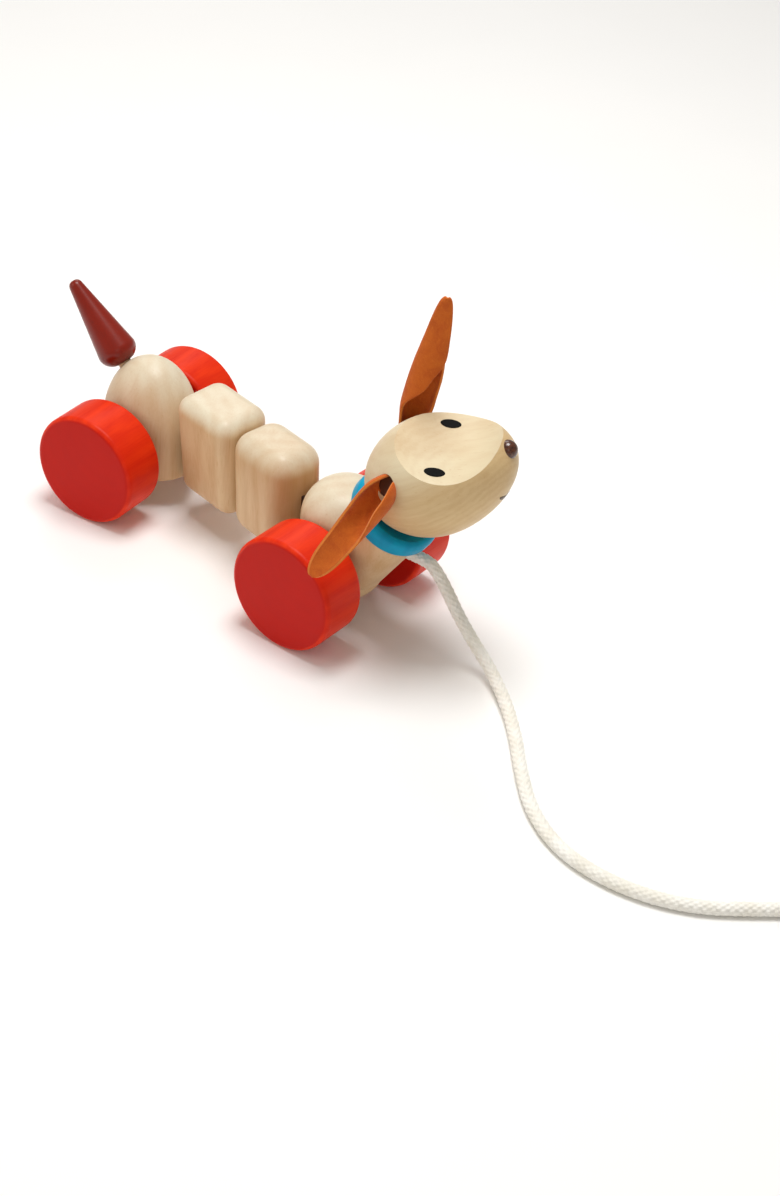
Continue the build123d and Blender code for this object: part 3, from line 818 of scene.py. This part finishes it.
def dress_small_parts():
    tail_way = Vector(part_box("tail")[1]) - Vector(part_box("tail")[0])
    tail_way = Vector((-tail_way.x, 0, tail_way.z))
    dress("tail", wood("brown_tail", *BROWN, grain_frame(middle("tail"), tail_way), rough=0.34, coat=0.16))
    dress("collar", paint("turquoise", linear(0, 154, 192), linear(0, 140, 180), 0.4, 0.06, shine=0.15))
    dress("nose", paint("nose_brown", linear(92, 50, 30), linear(58, 30, 20), 0.28, 0.6, 900.0))
    plug_place = grain_frame(HEAD.translation, HEAD.col[1].to_3d())
    for side in ("left", "right"):
        dress(f"eye_{side}", paint(f"eye_black_{side}", linear(4, 4, 4), linear(9, 8, 8), 0.5, 0.0,
                                   600.0, 0.08))
        # Painted shade: the plugs are coloured dark to stand for the shadow inside the ear roots.
        dress(f"ear_plug_{side}", wood(f"painted_shade_plug_{side}", *PLUG_PAINTED_SHADE, plug_place))
    for node in ("neck_dowel", "tail_dowel"):
        way = joint_axis("head_turn") if node == "neck_dowel" else tail_way
        dress(node, wood(f"beech_{node}", *BEECH, grain_frame(middle(node), way)))


def add_straps():
    front_way = joint_axis("front_wheels_roll").cross(UP)
    front_block = (joint_point("front_hitch") - joint_point("middle_hitch")).normalized()
    rear_block = (joint_point("middle_hitch") - joint_point("rear_hitch")).normalized()
    rear_way = Vector((1, 0, 0))
    front_block_up = Matrix.Rotation(BLOCK_FRONT_LEAN, 3, front_block) @ UP
    rear_block_up = Matrix.Rotation(BLOCK_REAR_LEAN, 3, rear_block) @ UP
    add_strap("front_strap", "hinge_strap_front", "front_hitch",
              -front_block, front_way, front_block_up, UP)
    add_strap("middle_strap", "hinge_strap_middle", "middle_hitch",
              -rear_block, front_block, rear_block_up, front_block_up)
    add_strap("rear_strap", "hinge_strap_rear", "rear_hitch",
              -rear_way, rear_block, UP, rear_block_up)


add_floor()
add_cord()
dress_bodies()
dress_wheels()
dress_small_parts()
add_straps()
add_mouth()
add_ear("left", 1, turn=-170.4, bow=0.5 * MM, sway=3.4 * MM,
        halves=((0.0, 3.7), (0.07, 4.8), (0.14, 5.8), (0.21, 6.2), (0.36, 6.3), (0.5, 5.9), (0.6, 5.3),
                (0.7, 4.6), (0.81, 3.8), (0.9, 2.9), (0.96, 2.0), (0.985, 1.3), (1.0, 0.4)),
        depths=((0.0, 3.7), (0.1, 4.2), (0.25, 3.8), (0.41, 3.0), (0.57, 2.0), (0.75, 1.0), (1.0, 0.3)),
        starts=((0.0, 172), (0.13, 150), (0.2, 129), (0.31, 82), (0.44, 54), (0.57, 8), (0.7, 2), (1.0, 0)),
        ends=((0.0, 430), (0.21, 352), (0.41, 345), (0.57, 325), (0.7, 250), (0.82, 200), (1.0, 180)))
add_ear("right", -1, turn=48.4, bow=1.5 * MM, sway=-1.8 * MM,
        halves=((0.0, 4.0), (0.04, 4.8), (0.1, 5.8), (0.2, 6.2), (0.4, 5.8), (0.6, 5.3), (0.8, 4.7),
                (0.9, 3.7), (0.96, 2.5), (0.985, 1.6), (1.0, 0.5)),
        depths=((0.0, 4.0), (0.05, 5.0), (0.12, 6.0), (0.25, 5.8), (0.42, 4.0), (0.6, 1.8), (0.8, 0.9),
                (1.0, 0.3)),
        starts=((0.0, 60), (0.12, 30), (0.25, 15), (0.45, 4), (0.6, 0), (1.0, 0)),
        ends=((0.0, -270), (0.12, -248), (0.25, -240), (0.4, -218), (0.55, -192), (0.7, -180), (1.0, -180)))
